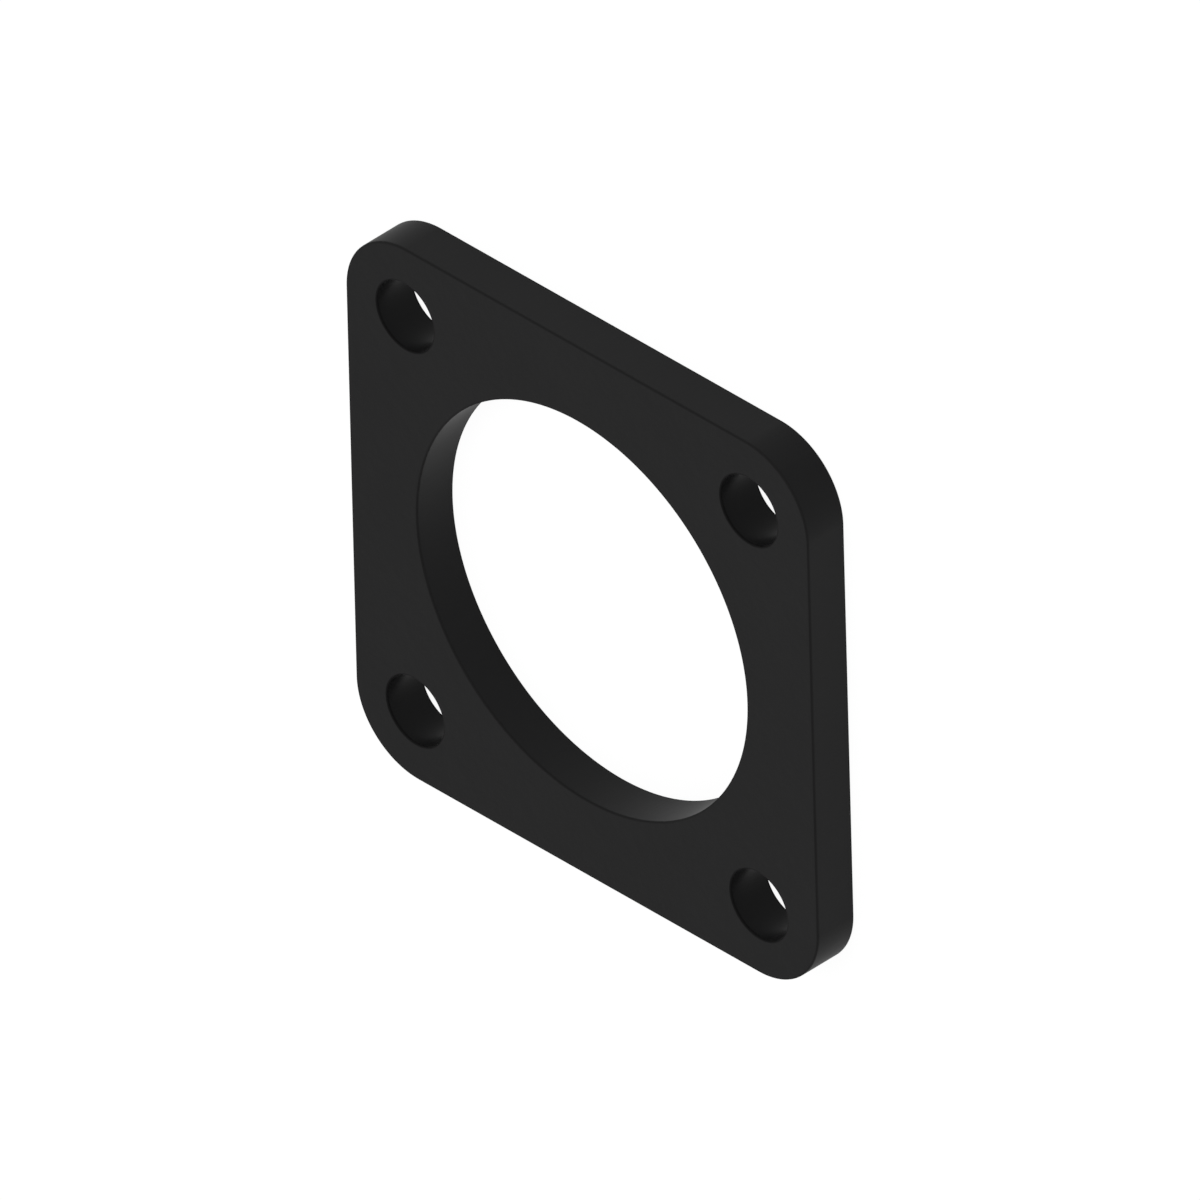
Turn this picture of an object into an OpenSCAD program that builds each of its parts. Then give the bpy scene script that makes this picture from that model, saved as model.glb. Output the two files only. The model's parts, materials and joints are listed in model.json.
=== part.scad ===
// Fuel tank gasket: one flat rubber plate, square with round corners, with a
// large bore in the middle and a bolt hole near each corner. Millimetres.
// It lies on its lower face: +Z runs up along the bore's axis, and the origin
// is the middle of that lower face.

/* [Plate] */
// Length of each side of the square outline
side = 60.325; // [56:0.005:80]
// Thickness of the rubber, from face to face
thickness = 4.7625; // [1.5:0.0025:10]
// Radius of the outline's four corners, seen from above
corner_r = 7.9375; // [2:0.0025:12]
// Radius that rounds off every edge where a wall meets a face
edge_r = 0.15; // [0.05:0.05:0.6]

/* [Bore] */
// Diameter of the bore in the middle
bore_d = 43.1; // [20:0.1:52]

/* [Bolt holes] */
// Diameter of the circle on which the bolt holes' centres lie
bolt_circle_d = 63.5; // [55:0.5:69]
// Diameter of each bolt hole
bolt_hole_d = 7.4; // [3:0.1:12]

/* [Hidden] */

// Colour of black nitrile rubber
rubber = "#1c1c1c";
// A square outline has this many sides, corners and bolt holes
corners = 4;
corner_turn = 360 / corners;
// Length of the straight stretch of each side, between two round corners
straight = side - 2 * corner_r;
// Height of the upright stretch of each wall, between two rounded edges
upright = thickness - 2 * edge_r;
// How far each cut runs on past the faces
overcut = 2 * edge_r;
// Steps round a full circle, for large arcs and for the small edge radius
$fn = 128;
edge_steps = 16;

// Puts its children at each corner's direction in turn
module at_each_corner() {
    for (i = [0:corners - 1])
        rotate(i * corner_turn)
            children();
}

// Quarter of a disc in the corner between +X and +Y, with the edges' radius
module quarter_disc() {
    intersection() {
        circle(edge_r, $fn = edge_steps);
        square(2 * edge_r);
    }
}

// Cross-section of the rubber from x = 0 out to a wall at x = width: the full
// thickness, with both corners at the wall rounded off
module rim_section(width) {
    flat = width - edge_r;
    square([flat, thickness]);
    translate([flat, edge_r])
        square([edge_r, upright]);
    translate([flat, edge_r + upright])
        quarter_disc();
    translate([flat, edge_r])
        mirror([0, 1])
            quarter_disc();
}

// The plate before it is pierced: a square core, one strip of the section along
// each side, and the same section turned through a right angle at each corner
module plate() {
    translate([-straight / 2, -straight / 2, 0])
        cube([straight, straight, thickness]);
    at_each_corner()
        translate([straight / 2, straight / 2, 0]) {
            rotate([90, 0, 0])
                linear_extrude(straight)
                    rim_section(corner_r);
            rotate_extrude(angle = corner_turn)
                rim_section(corner_r);
        }
}

// The space that a round opening takes out of the plate: its wall is upright, it
// flares at both faces by the edges' radius, and the cut runs on past the faces
module opening(diameter) {
    wall_r = diameter / 2;
    mouth_r = wall_r + edge_r;
    rotate_extrude()
        difference() {
            translate([0, -overcut])
                square([mouth_r, thickness + 2 * overcut]);
            translate([wall_r, edge_r])
                square([2 * edge_r, upright]);
            for (z = [edge_r, edge_r + upright])
                translate([mouth_r, z])
                    circle(edge_r, $fn = edge_steps);
        }
}

// The whole gasket, one solid
module gasket() {
    color(rubber)
        difference() {
            plate();
            opening(bore_d);
            rotate(corner_turn / 2)
                at_each_corner()
                    translate([bolt_circle_d / 2, 0, 0])
                        opening(bolt_hole_d);
        }
}

gasket();
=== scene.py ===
"""Fuel tank gasket: one flat plate of black rubber, lying on a white studio floor.

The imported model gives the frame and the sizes, and the plate's rubber is made
here as one closed mesh of the same form. Every measure is in metres.
"""

import json
import logging
import math
from dataclasses import dataclass, field
from enum import Enum, IntEnum
from typing import Any

import bpy
import numpy as np
from mathutils import Matrix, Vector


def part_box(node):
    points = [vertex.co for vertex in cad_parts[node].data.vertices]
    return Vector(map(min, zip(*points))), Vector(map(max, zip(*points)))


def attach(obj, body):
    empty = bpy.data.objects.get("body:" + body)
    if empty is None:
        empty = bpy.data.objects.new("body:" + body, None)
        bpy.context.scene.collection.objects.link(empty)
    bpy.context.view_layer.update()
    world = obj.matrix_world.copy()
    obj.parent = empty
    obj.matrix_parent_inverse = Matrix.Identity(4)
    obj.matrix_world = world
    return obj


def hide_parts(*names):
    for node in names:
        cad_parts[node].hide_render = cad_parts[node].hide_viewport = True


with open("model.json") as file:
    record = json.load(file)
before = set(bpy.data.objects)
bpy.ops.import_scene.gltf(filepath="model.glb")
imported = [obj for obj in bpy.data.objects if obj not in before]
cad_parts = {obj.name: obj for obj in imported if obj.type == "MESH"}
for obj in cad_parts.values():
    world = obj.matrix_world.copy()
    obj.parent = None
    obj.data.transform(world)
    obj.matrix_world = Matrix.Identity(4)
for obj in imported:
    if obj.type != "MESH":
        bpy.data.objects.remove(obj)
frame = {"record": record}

MM = 0.001
RIM_DISTANCE = "rim_distance"
QUARTERS = 4

# A Mix node has sockets of the same name, so its colours go by their numbers.
MIX_FIRST, MIX_SECOND, MIX_RESULT = 6, 7, 2

Colour = tuple[float, float, float]

log = logging.getLogger("gasket")


# Sizes


@dataclass(frozen=True)
class PlateSizes:
    """The plate's real sizes.

    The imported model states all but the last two, which repeat its source.

    Attributes:
        side: length of each side of the square outline.
        thickness: from face to face.
        bore_r: radius of the bore's wall.
        bolt_circle_r: radius of the circle through the bolt holes' centres.
        hole_r: radius of a bolt hole's wall.
        corner_r: radius of the outline's corners, seen from above.
        edge_r: radius that rounds every edge between a wall and a face.
    """

    side: float
    thickness: float
    bore_r: float
    bolt_circle_r: float
    hole_r: float
    corner_r: float = 7.9375 * MM
    edge_r: float = 0.15 * MM

    @classmethod
    def from_frame(cls, record: dict[str, Any]) -> "PlateSizes":
        """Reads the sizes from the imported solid's box and the record's mounts.

        Args:
            record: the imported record.

        Returns:
            The plate's sizes.
        """
        low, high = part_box("gasket")
        dims = {mount["name"]: mount["dims"] for mount in record["mounts"]}
        return cls(
            side=high[0] - low[0],
            thickness=high[2] - low[2],
            bore_r=dims["bore"]["r_mm"] * MM,
            bolt_circle_r=dims["bolts"]["pcd_mm"] / 2 * MM,
            hole_r=dims["bolts"]["hole_r_mm"] * MM,
        )

    @property
    def corner_centre(self) -> float:
        """X and Y of the first corner's centre of curvature."""
        return self.side / 2 - self.corner_r

    @property
    def hole_centre(self) -> float:
        """X and Y of the first bolt hole's axis."""
        return self.bolt_circle_r / math.sqrt(2)


# Lines on the plan


def straight(start: np.ndarray, end: np.ndarray, steps: int) -> np.ndarray:
    """Points at even steps along a straight line, both ends included."""
    share = np.linspace(0.0, 1.0, steps + 1)[:, None]
    return start + share * (end - start)


def even_sights(eye: np.ndarray, start: np.ndarray, end: np.ndarray, steps: int) -> np.ndarray:
    """Points on a straight line that stand at even angles as seen from an eye.

    With a and b the eye's distances from the two ends and w the angle between
    them, the point at angle u from the start lies at the share
    a sin(u) / (a sin(u) + b sin(w - u)) of the way.

    Args:
        eye: where the angles are measured.
        start: the line's first end.
        end: its other end.
        steps: number of equal angles.

    Returns:
        (steps + 1, 2) points, both ends included.
    """
    to_start, to_end = start - eye, end - eye
    a, b = np.hypot(*to_start), np.hypot(*to_end)
    whole = math.acos(float(to_start @ to_end) / (a * b))
    angle = np.linspace(0.0, whole, steps + 1)
    near, far = a * np.sin(angle), b * np.sin(whole - angle)
    share = (near / (near + far))[:, None]
    return start + share * (end - start)


def joined(*chains: np.ndarray) -> np.ndarray:
    """One closed line of chains that each begin where the one before ends."""
    return np.concatenate([chain[:-1] for chain in chains])


def turned(points: np.ndarray, quarters: int) -> np.ndarray:
    """Turns plan points or directions about the bore's axis.

    Args:
        points: (..., 2) points or directions.
        quarters: how many quarter turns, each of which takes (x, y) to (-y, x).

    Returns:
        What was given, turned.
    """
    for _ in range(quarters):
        points = np.stack([-points[..., 1], points[..., 0]], axis=-1)
    return points


def four_turns(points: np.ndarray) -> np.ndarray:
    """A quarter of a closed line repeated at each quarter turn."""
    return np.concatenate([turned(points, quarter) for quarter in range(QUARTERS)])


# Surfaces


class Surface(IntEnum):
    """Which kind of surface a part of the mesh is, and so its finish.

    Attributes:
        FACE: the two flat faces.
        WALL: the outer walls and the bore's wall, with their rounded edges.
        HOLE: the bolt holes' walls, with their rounded edges.
    """

    FACE = 0
    WALL = 1
    HOLE = 2


class Facing(Enum):
    """Which way one of the plate's two faces looks, as the Z of its normal."""

    UP = 1.0
    DOWN = -1.0


@dataclass(frozen=True)
class Rim:
    """A closed line where a face ends and a rounded edge begins.

    Attributes:
        points: (n, 2) plan points, the first one not repeated.
        out: (n, 2) unit vectors that point out of the rubber.
    """

    points: np.ndarray
    out: np.ndarray

    @classmethod
    def round_hole(cls, centre: np.ndarray, radius: float, border: np.ndarray) -> "Rim":
        """A circle with its points in line with those of a border round it.

        Each point is the centre plus the radius times the unit vector from the
        centre to the border's point.

        Args:
            centre: the circle's centre.
            radius: its radius.
            border: (n, 2) points of the border.

        Returns:
            The circle's rim, whose rubber lies outside it.
        """
        away = border - centre
        away = away / np.linalg.norm(away, axis=1, keepdims=True)
        return cls(points=centre + radius * away, out=-away)


@dataclass(frozen=True)
class Patch:
    """A sheet of quads laid out as a grid.

    Attributes:
        points: (rows, columns, 3) points.
        normals: (rows, columns, 3) unit normals that point out of the rubber.
        surface: the patch's finish.
    """

    points: np.ndarray
    normals: np.ndarray
    surface: Surface

    def quads(self, first: int) -> np.ndarray:
        """Vertex numbers of the patch's quads, listed so that they face outwards.

        A quad's own normal is the cross product of its first two sides. Where
        these point against the patch's normals, all quads are listed backwards.

        Args:
            first: number of the patch's first vertex.

        Returns:
            (cells, 4) vertex numbers.
        """
        rows, columns = self.points.shape[:2]
        number = first + np.arange(rows * columns).reshape(rows, columns)
        corners = [number[:-1, :-1], number[:-1, 1:], number[1:, 1:], number[1:, :-1]]
        quads = np.stack(corners, axis=-1).reshape(-1, 4)
        along = self.points[:-1, 1:] - self.points[:-1, :-1]
        across = self.points[1:, :-1] - self.points[:-1, :-1]
        facing = np.sum(np.cross(along, across) * self.normals[:-1, :-1])
        return quads if facing > 0 else quads[:, ::-1]


@dataclass
class GasketForm:
    """The plate's surface, made of ruled faces and of walls with rounded edges.

    Each face is a middle patch, ruled from the bore's rim to a cross-shaped
    border, and four corner patches, each ruled from a bolt hole's rim to the
    rest of the outline.

    Attributes:
        sizes: the plate's sizes.
        cell_line: X or Y of the lines between the middle and a corner patch.
        side_steps: steps along the middle of a side.
        cell_steps: steps along each line between the middle and a corner patch.
        run_steps: steps from such a line along the side to the round corner.
        corner_steps: steps round a corner.
        edge_steps: steps round a rounded edge.
        upright_steps: steps up the upright part of a wall.
        face_steps: steps from a rim to the border round it.
        middle_border: outer line of the middle patch.
        corner_border: outer line of the first corner patch.
        outline: rim of the plate.
        bore: rim of the bore.
        hole: rim of the first bolt hole.
    """

    sizes: PlateSizes
    cell_line: float = 16.8 * MM
    side_steps: int = 32
    cell_steps: int = 32
    run_steps: int = 12
    corner_steps: int = 32
    edge_steps: int = 6
    upright_steps: int = 4
    face_steps: int = 5
    middle_border: np.ndarray = field(init=False)
    corner_border: np.ndarray = field(init=False)
    outline: Rim = field(init=False)
    bore: Rim = field(init=False)
    hole: Rim = field(init=False)

    def __post_init__(self) -> None:
        """Lays out the borders and rims on the plan."""
        sizes = self.sizes
        line, centre = self.cell_line, sizes.corner_centre
        edge = sizes.side / 2 - sizes.edge_r
        axis = np.zeros(2)
        hole_axis = np.full(2, sizes.hole_centre)
        inner = np.array([line, line])
        lower, upper = np.array([edge, line]), np.array([line, edge])
        angle = np.linspace(0.0, math.pi / 2, self.corner_steps + 1)
        spoke = np.stack([np.cos(angle), np.sin(angle)], axis=1)

        side = even_sights(axis, np.array([edge, -line]), lower, self.side_steps)
        lower_run = straight(lower, np.array([edge, centre]), self.run_steps)
        arc = centre + (sizes.corner_r - sizes.edge_r) * spoke
        upper_run = straight(np.array([centre, edge]), upper, self.run_steps)
        lower_line = even_sights(hole_axis, inner, lower, self.cell_steps)
        upper_line = even_sights(hole_axis, upper, inner, self.cell_steps)

        right, back = np.array([1.0, 0.0]), np.array([0.0, 1.0])
        ways = [
            np.broadcast_to(right, side.shape),
            np.broadcast_to(right, lower_run.shape),
            spoke,
            np.broadcast_to(back, upper_run.shape),
        ]
        self.outline = Rim(
            points=four_turns(joined(side, lower_run, arc, upper_run)),
            out=four_turns(joined(*ways)),
        )
        self.middle_border = four_turns(joined(side, lower_line[::-1], upper_line[::-1]))
        self.corner_border = joined(lower_line, lower_run, arc, upper_run, upper_line)
        self.bore = Rim.round_hole(axis, sizes.bore_r + sizes.edge_r, self.middle_border)
        self.hole = Rim.round_hole(hole_axis, sizes.hole_r + sizes.edge_r, self.corner_border)

    def wall(self, rim: Rim, surface: Surface) -> Patch:
        """A wall with a rounded edge at each face, carried along a rim.

        At tilt q the surface lies r cos(q) beyond the rim, where r is the
        edges' radius, and its normal is out cos(q) + up sin(q). The tilt goes
        from -90 to 0 degrees round the lower edge, stays 0 up the wall, and
        goes on to 90 round the upper edge.

        Args:
            rim: the rim that the wall follows.
            surface: the wall's finish.

        Returns:
            The wall's patch, closed on itself.
        """
        r, top = self.sizes.edge_r, self.sizes.thickness
        quarter = np.linspace(0.0, math.pi / 2, self.edge_steps + 1)
        upright = np.linspace(r, top - r, self.upright_steps + 1)[1:-1]
        tilt = np.concatenate([-quarter[::-1], np.zeros(upright.size), quarter])
        height = np.concatenate(
            [r * (1 - np.sin(quarter[::-1])), upright, top - r * (1 - np.sin(quarter))]
        )
        points = np.concatenate([rim.points, rim.points[:1]])
        out = np.concatenate([rim.out, rim.out[:1]])
        reach, rise = np.cos(tilt)[:, None, None], np.sin(tilt)[:, None, None]
        plan = points + r * reach * out
        flat_rise = np.broadcast_to(rise, plan[..., :1].shape)
        flat_height = np.broadcast_to(height[:, None, None], plan[..., :1].shape)
        return Patch(
            points=np.concatenate([plan, flat_height], axis=-1),
            normals=np.concatenate([reach * out, flat_rise], axis=-1),
            surface=surface,
        )

    def face(self, rim: np.ndarray, border: np.ndarray, facing: Facing) -> Patch:
        """A flat ring ruled straight from a rim to a border round it.

        The point at share v of a ruling is (1 - v) rim + v border.

        Args:
            rim: (n, 2) points of the inner line.
            border: (n, 2) points of the outer line, in step with the inner.
            facing: which of the plate's faces it belongs to.

        Returns:
            The ring's patch, closed on itself.
        """
        share = np.linspace(0.0, 1.0, self.face_steps + 1)[:, None, None]
        plan = (1 - share) * rim + share * border
        plan = np.concatenate([plan, plan[:, :1]], axis=1)
        height = self.sizes.thickness if facing is Facing.UP else 0.0
        points = np.concatenate([plan, np.full(plan[..., :1].shape, height)], axis=-1)
        normals = np.zeros(points.shape)
        normals[..., 2] = facing.value
        return Patch(points=points, normals=normals, surface=Surface.FACE)

    def patches(self) -> list[Patch]:
        """Lays out the whole surface.

        Returns:
            The patches, which together close the surface.
        """
        made = [self.wall(rim, Surface.WALL) for rim in (self.outline, self.bore)]
        made += [self.face(self.bore.points, self.middle_border, facing) for facing in Facing]
        for quarter in range(QUARTERS):
            rim = Rim(turned(self.hole.points, quarter), turned(self.hole.out, quarter))
            border = turned(self.corner_border, quarter)
            made.append(self.wall(rim, Surface.HOLE))
            made += [self.face(rim.points, border, facing) for facing in Facing]
        return made

    def rim_distance(self, points: np.ndarray) -> np.ndarray:
        """How far each point of the surface lies from the nearest rounded edge.

        On a face it is the distance on the plan to the nearest wall, and on a
        wall the height from the nearest face, each less the edges' radius. The
        distance to the outline comes from q, which is (|x|, |y|) less the place
        of the corners' centres: it is the corner radius less the length of the
        positive parts of q, and less the larger part of q where neither is
        positive.

        Args:
            points: (n, 3) points of the surface.

        Returns:
            (n,) distances, 0 on the rounded edges.
        """
        sizes = self.sizes
        plan, height = np.abs(points[:, :2]), points[:, 2]
        past = plan - sizes.corner_centre
        beyond = np.hypot(*np.maximum(past, 0.0).T) + np.minimum(past.max(axis=1), 0.0)
        to_outline = sizes.corner_r - beyond
        to_bore = np.hypot(*plan.T) - sizes.bore_r
        to_hole = np.hypot(*(plan - sizes.hole_centre).T) - sizes.hole_r
        to_wall = np.minimum.reduce([to_outline, to_bore, to_hole])
        to_face = np.minimum(height, sizes.thickness - height)
        return np.maximum(np.maximum(to_wall, to_face) - sizes.edge_r, 0.0)


# Shader nodes


Value = float | tuple[float, ...] | bpy.types.NodeSocket


class NodeSheet:
    """Adds nodes to a node tree and joins them up."""

    def __init__(self, tree: bpy.types.NodeTree) -> None:
        """Starts on a tree, which is emptied."""
        self.tree = tree
        tree.nodes.clear()

    def add(self, kind: str, inputs: dict[str | int, Value] | None = None, **settings: Any) -> Any:
        """Adds one node.

        Args:
            kind: the node's type.
            inputs: a value or another node's output for each input, by its
                name, or by its number where a name comes twice.
            **settings: the node's own properties.

        Returns:
            The node.
        """
        node = self.tree.nodes.new(kind)
        for name, value in settings.items():
            setattr(node, name, value)
        for name, value in (inputs or {}).items():
            if isinstance(value, bpy.types.NodeSocket):
                self.tree.links.new(value, node.inputs[name])
            else:
                node.inputs[name].default_value = value
        return node

    def mix(self, share: Value, first: Colour, second: Colour) -> bpy.types.NodeSocket:
        """A mix of two colours.

        Args:
            share: how much of the second colour there is, from 0 to 1.
            first: linear colour at share 0.
            second: linear colour at share 1.

        Returns:
            The mixed colour.
        """
        inputs = {"Factor": share, MIX_FIRST: (*first, 1.0), MIX_SECOND: (*second, 1.0)}
        return self.add("ShaderNodeMix", inputs, data_type="RGBA").outputs[MIX_RESULT]

    def math(self, operation: str, *values: Value) -> bpy.types.NodeSocket:
        """The result of a Math node on one, two or three values."""
        inputs = dict(enumerate(values))
        return self.add("ShaderNodeMath", inputs, operation=operation).outputs[0]

    def group(self, tree: bpy.types.NodeTree, **inputs: Value) -> Any:
        """Places a node group, with its inputs named in lower case here."""
        named = {name.replace("_", " ").capitalize(): value for name, value in inputs.items()}
        return self.add("ShaderNodeGroup", named, node_tree=tree)


@dataclass
class PatternGroup:
    """A shader node group that is built once and then shared.

    Attributes:
        name: the group's name.
        inputs: each input with its usual value.
        output: the name of its one output.
        tree: the group's node tree.
        sheet: the sheet that adds nodes to that tree.
        given: what comes in through each input.
    """

    name: str
    inputs: dict[str, float]
    output: str
    tree: bpy.types.NodeTree = field(init=False)
    sheet: NodeSheet = field(init=False)
    given: dict[str, bpy.types.NodeSocket] = field(init=False)

    def __post_init__(self) -> None:
        """Makes the group's sockets."""
        self.tree = bpy.data.node_groups.new(self.name, "ShaderNodeTree")
        self.sheet = NodeSheet(self.tree)
        for name, usual in self.inputs.items():
            socket = self.tree.interface.new_socket(
                name, in_out="INPUT", socket_type="NodeSocketFloat"
            )
            socket.default_value = usual
        self.tree.interface.new_socket(
            self.output, in_out="OUTPUT", socket_type="NodeSocketFloat"
        )
        self.given = dict(self.sheet.add("NodeGroupInput").outputs.items())

    def put_out(self, value: bpy.types.NodeSocket) -> bpy.types.NodeTree:
        """Gives the group its result and returns its tree."""
        self.sheet.add("NodeGroupOutput", {self.output: value})
        return self.tree

    def noise(self, size: Value, stretch: Value, **inputs: Value) -> bpy.types.NodeSocket:
        """Noise on Object coordinates.

        Args:
            size: length of one feature, in metres.
            stretch: factor on Z, below 1 where features run along Z.
            **inputs: the Noise Texture's other inputs.

        Returns:
            The noise, from 0 to 1.
        """
        place = self.sheet.add("ShaderNodeTexCoord").outputs["Object"]
        scale = self.sheet.add("ShaderNodeCombineXYZ", {"X": 1.0, "Y": 1.0, "Z": stretch})
        drawn = self.sheet.add(
            "ShaderNodeVectorMath", {0: place, 1: scale.outputs[0]}, operation="MULTIPLY"
        )
        named = {name.capitalize(): value for name, value in inputs.items()}
        named |= {"Vector": drawn.outputs[0], "Scale": self.sheet.math("DIVIDE", 1.0, size)}
        return self.sheet.add("ShaderNodeTexNoise", named).outputs["Fac"]


def grain_group() -> bpy.types.NodeTree:
    """Builds the fine relief of moulded or cut rubber.

    Returns:
        A group that puts out a height from 0 to 1.
    """
    group = PatternGroup("Rubber grain", {"Size": 0.3 * MM, "Stretch": 1.0}, "Height")
    given = group.given
    return group.put_out(group.noise(given["Size"], given["Stretch"], detail=3.0, roughness=0.6))


def rub_group() -> bpy.types.NodeTree:
    """Builds the band beside a rounded edge, rubbed rougher and painted darker as shade.

    The distance plus waver (noise - 0.5) goes through a smooth step, from 1 at
    the edge down to 0 at the width, so the band's far side wavers.

    Returns:
        A group that puts out 1 at the edge and 0 past the band's width.
    """
    usual = {
        "Distance": 0.0,
        "Width": 0.15 * MM,
        "Waver": 0.04 * MM,
        "Waver size": 0.6 * MM,
    }
    group = PatternGroup("Edge rub", usual, "Rub_and_shade")
    given, sheet = group.given, group.sheet
    wobble = sheet.math("SUBTRACT", group.noise(given["Waver size"], 1.0, detail=2.0), 0.5)
    distance = sheet.math("MULTIPLY_ADD", wobble, given["Waver"], given["Distance"])
    limits = {"Value": distance, "From Max": given["Width"], "To Min": 1.0, "To Max": 0.0}
    band = sheet.add("ShaderNodeMapRange", limits, interpolation_type="SMOOTHSTEP")
    return group.put_out(band.outputs["Result"])


def bloom_group() -> bpy.types.NodeTree:
    """Builds the faint cloudy bloom that handling leaves on rubber.

    Returns:
        A group that puts out 2 (noise - 0.5), a value from -1 to 1.
    """
    group = PatternGroup("Handling bloom", {"Size": 9.0 * MM}, "Bloom")
    cloud = group.noise(group.given["Size"], 1.0, detail=3.0, roughness=0.55, distortion=0.6)
    centred = group.sheet.math("SUBTRACT", cloud, 0.5)
    return group.put_out(group.sheet.math("MULTIPLY", centred, 2.0))


@dataclass(frozen=True)
class RubberPatterns:
    """The patterns that all the rubber's finishes share.

    Attributes:
        grain: relief of the surface.
        rub: band beside an edge, rubbed rougher and painted darker as shade.
        bloom: cloudy bloom.
    """

    grain: bpy.types.NodeTree
    rub: bpy.types.NodeTree
    bloom: bpy.types.NodeTree

    @classmethod
    def build(cls) -> "RubberPatterns":
        """Builds each group once."""
        return cls(grain=grain_group(), rub=rub_group(), bloom=bloom_group())


@dataclass(frozen=True)
class RubberFinish:
    """Black nitrile rubber with a dull sheen.

    Attributes:
        name: the material's name.
        colour: linear colour of the clean surface.
        rubbed_colour: darker linear colour beside an edge, painted shade along the edges.
        roughness: of the clean surface.
        rub_roughness: what rubbing adds to it.
        bloom_roughness: how far the bloom moves it either way.
        specular: the shader's specular level.
        grain_size: length of one grain.
        grain_depth: height of the grain's relief.
        mark_size: width of a mark that the mould or the cutter left.
        mark_stretch: factor on Z for the marks, below 1 for upright ones.
        mark_depth: height of the marks' relief.
        rub_width: width of the band beside an edge that is rubbed rougher and painted darker as
            shade.
    """

    name: str
    colour: Colour
    rubbed_colour: Colour
    roughness: float
    rub_roughness: float
    bloom_roughness: float
    specular: float
    grain_size: float
    grain_depth: float
    mark_size: float
    mark_stretch: float
    mark_depth: float
    rub_width: float

    def material(self, patterns: RubberPatterns) -> bpy.types.Material:
        """Builds the finish as a material.

        The roughness is the clean surface's, plus the rub and the bloom, each
        times its own roughness. The relief is the grain and the marks, each
        times its depth, added up. The colour darkens in the rubbed band, as
        painted shade.

        Args:
            patterns: the shared node groups.

        Returns:
            The material.
        """
        material = bpy.data.materials.new(self.name)
        material.use_nodes = True
        sheet = NodeSheet(material.node_tree)
        distance = sheet.add("ShaderNodeAttribute", attribute_name=RIM_DISTANCE).outputs["Fac"]
        rub = sheet.group(patterns.rub, distance=distance, width=self.rub_width).outputs[0]
        bloom = sheet.group(patterns.bloom).outputs[0]
        roughness = sheet.math("MULTIPLY_ADD", rub, self.rub_roughness, self.roughness)
        roughness = sheet.math("MULTIPLY_ADD", bloom, self.bloom_roughness, roughness)
        grain = sheet.group(patterns.grain, size=self.grain_size).outputs[0]
        marks = sheet.group(
            patterns.grain, size=self.mark_size, stretch=self.mark_stretch
        ).outputs[0]
        grain_height = sheet.math("MULTIPLY", grain, self.grain_depth)
        height = sheet.math("MULTIPLY_ADD", marks, self.mark_depth, grain_height)
        bump = sheet.add("ShaderNodeBump", {"Height": height, "Distance": 1.0})
        shader = sheet.add(
            "ShaderNodeBsdfPrincipled",
            {
                # The base colour darkens beside the edges: painted shade.
                "Base Color": sheet.mix(rub, self.colour, self.rubbed_colour),
                "Roughness": roughness,
                "Specular IOR Level": self.specular,
                "Normal": bump.outputs["Normal"],
            },
        )
        sheet.add("ShaderNodeOutputMaterial", {"Surface": shader.outputs[0]})
        return material


COMPOUND_BLACK: Colour = (0.0085, 0.0085, 0.0087)
COMPOUND_GRAIN = 0.17 * MM

MOULDED_FACE = RubberFinish(
    name="moulded_face",
    colour=COMPOUND_BLACK,
    # Slightly darker beside the edges: painted shade along the edges' line.
    rubbed_colour=(0.0080, 0.0080, 0.0081),
    roughness=0.50,
    rub_roughness=0.08,
    bloom_roughness=0.04,
    specular=0.066,
    grain_size=COMPOUND_GRAIN,
    grain_depth=0.0050 * MM,
    mark_size=1.5 * MM,
    mark_stretch=1.0,
    mark_depth=0.0250 * MM,
    rub_width=0.10 * MM,
)

CUT_WALL = RubberFinish(
    name="cut_wall",
    colour=COMPOUND_BLACK,
    # Slightly darker beside the edges: painted shade along the edges' line.
    rubbed_colour=(0.0075, 0.0075, 0.0076),
    roughness=0.50,
    rub_roughness=0.15,
    bloom_roughness=0.04,
    specular=0.082,
    grain_size=COMPOUND_GRAIN,
    grain_depth=0.0040 * MM,
    mark_size=0.30 * MM,
    mark_stretch=0.07,
    mark_depth=0.0060 * MM,
    rub_width=0.14 * MM,
)

PUNCHED_HOLE = RubberFinish(
    name="punched_hole",
    colour=COMPOUND_BLACK,
    # Much darker beside the holes' rims: painted shade inside the bolt holes.
    rubbed_colour=(0.0035, 0.0035, 0.0036),
    roughness=0.34,
    rub_roughness=0.36,
    bloom_roughness=0.03,
    specular=0.077,
    grain_size=COMPOUND_GRAIN,
    grain_depth=0.0030 * MM,
    mark_size=0.30 * MM,
    mark_stretch=0.07,
    mark_depth=0.0040 * MM,
    rub_width=0.17 * MM,
)


# The piece


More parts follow.
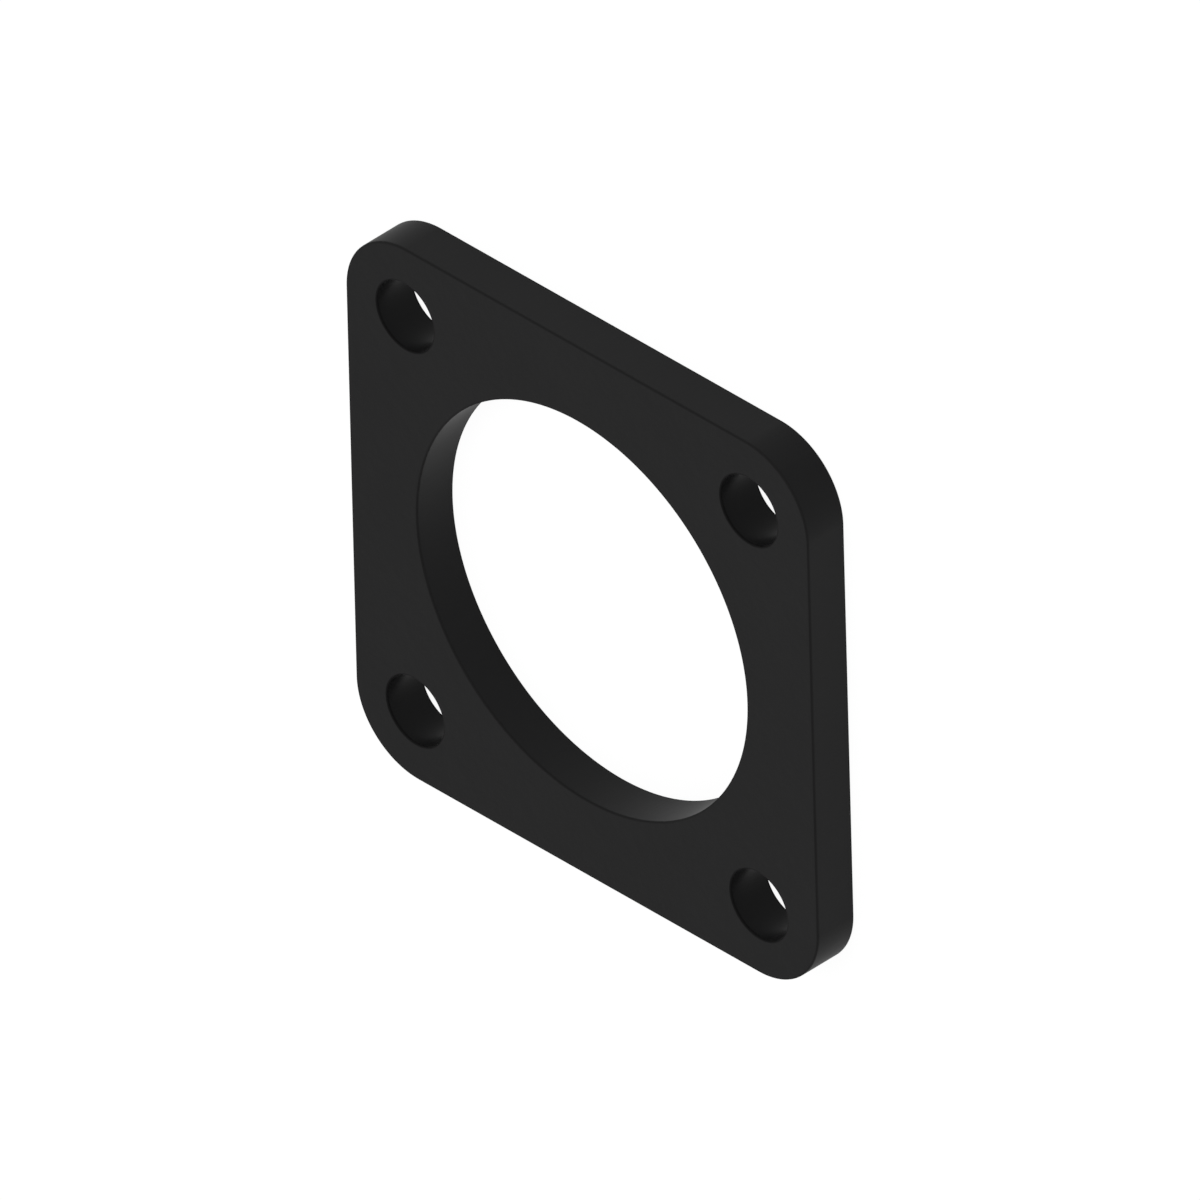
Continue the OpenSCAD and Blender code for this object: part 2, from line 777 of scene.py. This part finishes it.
@dataclass
class RubberPlate:
    """The gasket itself, one piece that stands for the CAD solid.

    Attributes:
        form: the plate's surface.
        finishes: a finish for each kind of surface.
        weld: points closer than this are one vertex.
    """

    form: GasketForm
    finishes: dict[Surface, RubberFinish]
    weld: float = 0.0001 * MM

    def mesh(self) -> bpy.types.Mesh:
        """Welds the patches into one closed mesh.

        Returns:
            The mesh, with the form's own normals and the attribute for the
            edges' rubbed and painted-shade band.
        """
        patches = self.form.patches()
        points = np.concatenate([patch.points.reshape(-1, 3) for patch in patches])
        normals = np.concatenate([patch.normals.reshape(-1, 3) for patch in patches])
        starts = np.cumsum([0] + [patch.points[..., 0].size for patch in patches[:-1]])
        quads = [patch.quads(start) for patch, start in zip(patches, starts)]
        surfaces = np.repeat([patch.surface for patch in patches], [len(q) for q in quads])
        keys = np.round(points / self.weld).astype(np.int64)
        _, first, merged = np.unique(keys, axis=0, return_index=True, return_inverse=True)
        faces = merged.reshape(-1)[np.concatenate(quads)]

        mesh = bpy.data.meshes.new("gasket_rubber")
        mesh.from_pydata(points[first].tolist(), [], faces.tolist())
        mesh.polygons.foreach_set("material_index", surfaces.astype(np.int32))
        mesh.shade_smooth()
        mesh.normals_split_custom_set_from_vertices(normals[first].tolist())
        distance = mesh.attributes.new(RIM_DISTANCE, "FLOAT", "POINT")
        distance.data.foreach_set("value", self.form.rim_distance(points[first]))
        return mesh

    def build(self, patterns: RubberPatterns) -> bpy.types.Object:
        """Makes the piece, dresses it and puts it in place of the CAD solid.

        Args:
            patterns: the shared node groups.

        Returns:
            The piece.
        """
        mesh = self.mesh()
        for surface in Surface:
            mesh.materials.append(self.finishes[surface].material(patterns))
        piece = bpy.data.objects.new("gasket_rubber", mesh)
        bpy.context.scene.collection.objects.link(piece)
        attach(piece, "root")
        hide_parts("gasket")
        return piece


# Studio


def grey(level: float) -> tuple[float, float, float, float]:
    """An opaque grey of one linear level."""
    return level, level, level, 1.0


def placed(x: np.ndarray, y: np.ndarray, z: np.ndarray, at: np.ndarray) -> Matrix:
    """Finds the matrix that turns an object and puts it in its place.

    Args:
        x: unit vector along which the object's X axis goes.
        y: the same for its Y axis.
        z: the same for its Z axis.
        at: where its origin goes.

    Returns:
        The object's matrix.
    """
    matrix = np.identity(4)
    matrix[:3, :3] = np.stack([x, y, z], axis=1)
    matrix[:3, 3] = at
    return Matrix(matrix.tolist())


@dataclass(frozen=True)
class SoftLamp:
    """A square lamp that looks at the middle of the floor.

    Attributes:
        name: the lamp's name.
        azimuth: degrees from +X towards +Y.
        elevation: degrees above the floor.
        power: in watts.
        distance: from the middle of the floor.
        width: of the lamp.
    """

    name: str
    azimuth: float
    elevation: float
    power: float
    distance: float = 0.60
    width: float = 0.30

    def build(self) -> bpy.types.Object:
        """Makes the lamp.

        Its back is (cos a cos e, sin a cos e, sin e) for azimuth a and
        elevation e, and that is also the way to it from the floor's middle.

        Returns:
            The lamp.
        """
        a, e = np.radians([self.azimuth, self.elevation])
        back = np.array([np.cos(a) * np.cos(e), np.sin(a) * np.cos(e), np.sin(e)])
        across = np.array([-np.sin(a), np.cos(a), 0.0])
        data = bpy.data.lights.new(self.name, "AREA")
        data.energy, data.size = self.power, self.width
        lamp = bpy.data.objects.new(self.name, data)
        lamp.matrix_world = placed(across, np.cross(back, across), back, self.distance * back)
        bpy.context.scene.collection.objects.link(lamp)
        return lamp


@dataclass(frozen=True)
class Studio:
    """White floor, white surroundings and soft lamps.

    Rays from the camera, and those that a glossy or clear surface sends on,
    see white. All other rays see the lit floor and the lighting level.

    Attributes:
        floor_half: half the floor's width.
        floor_drop: how far the floor lies below the plate.
        floor_colour: how much light the floor gives back.
        floor_glow: the part of its white that has no shadow.
        floor_shade: how far the floor shows the light that falls on it.
        sky_level: brightness of the surroundings as a light.
        lamps: the soft lamps.
    """

    floor_half: float = 2.0
    floor_drop: float = 0.02 * MM
    floor_colour: float = 0.85
    floor_glow: float = 0.93
    floor_shade: float = 0.10
    sky_level: float = 0.80
    lamps: tuple[SoftLamp, ...] = (
        SoftLamp("key_lamp", azimuth=75.0, elevation=65.0, power=0.78),
    )

    @staticmethod
    def seen(sheet: NodeSheet) -> bpy.types.NodeSocket:
        """Tells apart the rays that show the background and those that gather light.

        Args:
            sheet: the material's or the world's nodes.

        Returns:
            1 for a ray that shows the background, 0 for any other.
        """
        path = sheet.add("ShaderNodeLightPath").outputs
        direct = sheet.math("MAXIMUM", path["Is Camera Ray"], path["Is Glossy Ray"])
        return sheet.math("MAXIMUM", direct, path["Is Transmission Ray"])

    def floor(self) -> bpy.types.Object:
        """Makes a plain white floor that can't be seen from below.

        Returns:
            The floor.
        """
        half, low = self.floor_half, -self.floor_drop
        corners = [(-half, -half, low), (half, -half, low), (half, half, low), (-half, half, low)]
        mesh = bpy.data.meshes.new("studio_floor")
        mesh.from_pydata(corners, [], [(0, 1, 2, 3)])
        material = bpy.data.materials.new("studio_white")
        material.use_nodes = True
        sheet = NodeSheet(material.node_tree)
        lit = sheet.add("ShaderNodeBsdfDiffuse", {"Color": grey(self.floor_colour)})
        glow = sheet.add("ShaderNodeEmission", {"Color": grey(1.0), "Strength": self.floor_glow})
        shade = sheet.add("ShaderNodeBsdfDiffuse", {"Color": grey(self.floor_shade)})
        shown = sheet.add("ShaderNodeAddShader", {0: glow.outputs[0], 1: shade.outputs[0]})
        top = sheet.add(
            "ShaderNodeMixShader", {0: self.seen(sheet), 1: lit.outputs[0], 2: shown.outputs[0]}
        )
        below = sheet.add("ShaderNodeBsdfTransparent")
        under = sheet.add("ShaderNodeNewGeometry").outputs["Backfacing"]
        side = sheet.add("ShaderNodeMixShader", {0: under, 1: top.outputs[0], 2: below.outputs[0]})
        sheet.add("ShaderNodeOutputMaterial", {"Surface": side.outputs[0]})
        mesh.materials.append(material)
        floor = bpy.data.objects.new("studio_floor", mesh)
        bpy.context.scene.collection.objects.link(floor)
        return floor

    def surroundings(self) -> None:
        """Plain white all round, at the lighting level for rays that gather light."""
        world = bpy.data.worlds.new("studio_surroundings")
        world.use_nodes = True
        bpy.context.scene.world = world
        sheet = NodeSheet(world.node_tree)
        seen = self.seen(sheet)
        strength = sheet.math("MULTIPLY_ADD", seen, 1.0 - self.sky_level, self.sky_level)
        light = sheet.add("ShaderNodeBackground", {"Color": grey(1.0), "Strength": strength})
        sheet.add("ShaderNodeOutputWorld", {"Surface": light.outputs[0]})


@dataclass(frozen=True)
class PhotoCamera:
    """A parallel-projection camera at the photograph's viewing angle.

    Attributes:
        azimuth: degrees round the bore's axis, 0 looking along +Y.
        elevation: degrees above the plate.
        roll: degrees that the camera is turned about its line of sight.
        width: width of the square view.
        distance: from the plate to the camera.
        nearest: distance from the camera at which it begins to see.
        farthest: distance at which it stops.
    """

    azimuth: float = 134.99
    elevation: float = 34.50
    roll: float = -120.99
    width: float = 110.91 * MM
    distance: float = 0.60
    nearest: float = 0.01
    farthest: float = 10.0

    def axes(self) -> tuple[np.ndarray, np.ndarray, np.ndarray]:
        """The camera's right, up and backward directions.

        Back is (sin a cos e, -cos a cos e, sin e) for azimuth a and elevation
        e. Right and up start level and upright, and are turned by the roll.

        Returns:
            Three unit vectors.
        """
        a, e, w = np.radians([self.azimuth, self.elevation, self.roll])
        back = np.array([np.sin(a) * np.cos(e), -np.cos(a) * np.cos(e), np.sin(e)])
        level = np.array([np.cos(a), np.sin(a), 0.0])
        upright = np.cross(back, level)
        right = np.cos(w) * level + np.sin(w) * upright
        return right, np.cross(back, right), back

    def build(self, aim: np.ndarray) -> bpy.types.Object:
        """Makes the scene's camera.

        Args:
            aim: the point at the middle of the picture.

        Returns:
            The camera.
        """
        data = bpy.data.cameras.new("photo_camera")
        data.type = "ORTHO"
        data.ortho_scale = self.width
        data.clip_start, data.clip_end = self.nearest, self.farthest
        camera = bpy.data.objects.new("photo_camera", data)
        right, up, back = self.axes()
        camera.matrix_world = placed(right, up, back, aim + self.distance * back)
        bpy.context.scene.collection.objects.link(camera)
        bpy.context.scene.camera = camera
        return camera


# Making


def main() -> None:
    """Builds the camera, the gasket and the studio."""
    logging.basicConfig(level=logging.INFO, format="%(name)s: %(message)s", force=True)
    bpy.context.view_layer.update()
    sizes = PlateSizes.from_frame(frame["record"])
    PhotoCamera().build(np.array([0.0, 0.0, sizes.thickness / 2]))
    finishes = {
        Surface.FACE: MOULDED_FACE,
        Surface.WALL: CUT_WALL,
        Surface.HOLE: PUNCHED_HOLE,
    }
    plate = RubberPlate(form=GasketForm(sizes), finishes=finishes)
    piece = plate.build(RubberPatterns.build())
    log.info("%s: %d quads", piece.name, len(piece.data.polygons))

    studio = Studio()
    for made in (studio.floor(), *(lamp.build() for lamp in studio.lamps)):
        log.info("%s in place", made.name)
    studio.surroundings()
    bpy.context.scene.view_settings.view_transform = "Standard"

    bpy.context.view_layer.update()


if __name__ == "__main__":
    main()
